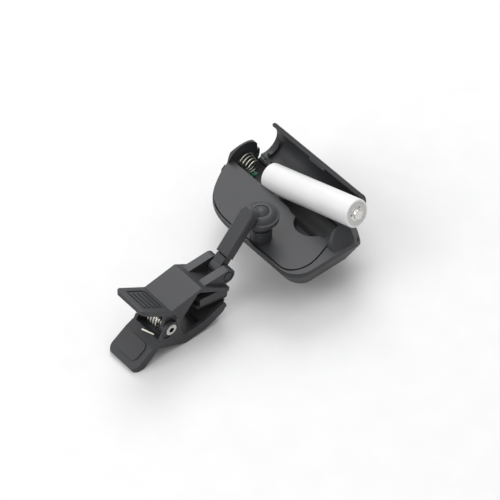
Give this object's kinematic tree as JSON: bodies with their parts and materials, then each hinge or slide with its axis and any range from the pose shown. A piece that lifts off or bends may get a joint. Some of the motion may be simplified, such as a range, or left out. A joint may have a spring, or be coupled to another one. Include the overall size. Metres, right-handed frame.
{
  "type": "clip-on tuner",
  "caption": "Clip-on instrument tuner with a ball-jointed head, an open battery bay and door, a leaning cell, a short arm and a sprung jaw clip.",
  "frame": {"origin": "middle of the upper jaw pad's gripping face", "axes": "+X along the head's long side and the clip's rivet, +Y from the clip to the head's battery side, +Z out of the head's back plate"},
  "size_m": [0.0611, 0.1005, 0.0378],
  "materials": {
    "shell": "fine satin texture",
    "clip_plastic": "satin",
    "rubber": "matt",
    "steel": "plain",
    "nickel": "nickel plate",
    "cell_wrap": "semi-gloss sleeve",
    "board": "solder mask",
    "window": "clear",
    "panel": "glass-like",
    "guide": "clear diffuser",
    "brass": "plain",
    "button_plastic": "satin"
  },
  "bodies": {
    "upper_jaw": {"upper_jaw": "clip_plastic", "upper_jaw_pad": "rubber", "clevis_pin": "steel"},
    "lower_jaw": {"lower_jaw": "clip_plastic", "lower_jaw_pad": "rubber", "pivot_rivet": "nickel", "clip_spring": "steel"},
    "tongue": {"swivel_tongue": "clip_plastic"},
    "arm": {"arm_link": "clip_plastic", "swivel_screw": "steel"},
    "stud": {"ball_stud": "clip_plastic"},
    "socket": {"socket_bowl": "shell", "socket_cap": "shell"},
    "head": {"back_cover": "shell", "mid_housing": "shell", "front_bezel": "shell", "display_window": "window", "lcd_panel": "panel", "light_guide": "guide", "main_board": "board", "contact_board": "board", "switch_domes": "nickel", "piezo_disc": "brass", "board_screws": "steel", "battery_spring": "steel", "positive_contact": "nickel", "door_hinge_pins": "steel"},
    "door": {"battery_door": "shell"},
    "cell": {"battery_cell": "cell_wrap"},
    "power_button": {"power_button": "button_plastic"},
    "mode_button": {"mode_button": "button_plastic"},
    "calibration_button": {"calibration_button": "button_plastic"}
  },
  "joints": [
    {"name": "jaw_hinge", "type": "hinge", "parent": "upper_jaw", "child": "lower_jaw", "pos_m": [0, -0.0188, 0.0008], "axis": [-1, 0, 0], "range_deg": [0, 24], "stiffness_Nm_per_rad": 0.02, "springref_deg": -68.75, "deforming": ["clip_spring"]},
    {"name": "clevis_hinge", "type": "hinge", "parent": "upper_jaw", "child": "tongue", "pos_m": [0, 0.0073, 0.0082], "axis": [1, 0, 0], "range_deg": [-15, 45]},
    {"name": "arm_twist", "type": "hinge", "parent": "tongue", "child": "arm", "pos_m": [0, 0.0073, 0.0082], "axis": [0, 0.6574, 0.7536], "range_deg": [-40, 60]},
    {"name": "stud_spin", "type": "hinge", "parent": "arm", "child": "stud", "pos_m": [0, 0.0269, 0.0195], "axis": [0, -0.7536, 0.6574], "range_deg": [-20, 35]},
    {"name": "ball_tilt", "type": "hinge", "parent": "stud", "child": "socket", "pos_m": [0, 0.0269, 0.0195], "axis": [1, 0, 0], "range_deg": [-2, 64]},
    {"name": "socket_pan", "type": "hinge", "parent": "socket", "child": "head", "pos_m": [0, 0.0269, 0.0195], "axis": [0, 0, 1], "range_deg": [-25, 45]},
    {"name": "door_hinge", "type": "hinge", "parent": "head", "child": "door", "pos_m": [-0.01, 0.0546, 0.0056], "axis": [1, 0, 0], "range_deg": [-6, 12]},
    {"name": "battery_slide", "type": "slide", "parent": "head", "child": "cell", "axis": [0.9593, 0.0742, 0.2726], "range_m": [0, 0.03]},
    {"name": "power_button_press", "type": "slide", "parent": "head", "child": "power_button", "axis": [0, 0, 1], "range_m": [0, 0.0004], "stiffness_N_per_m": 250, "springref_m": -0.0006},
    {"name": "mode_button_press", "type": "slide", "parent": "head", "child": "mode_button", "axis": [0, 0, 1], "range_m": [0, 0.0004], "stiffness_N_per_m": 250, "springref_m": -0.0006},
    {"name": "calibration_button_press", "type": "slide", "parent": "head", "child": "calibration_button", "axis": [0, 0, 1], "range_m": [0, 0.0004], "stiffness_N_per_m": 250, "springref_m": -0.0006}
  ]
}
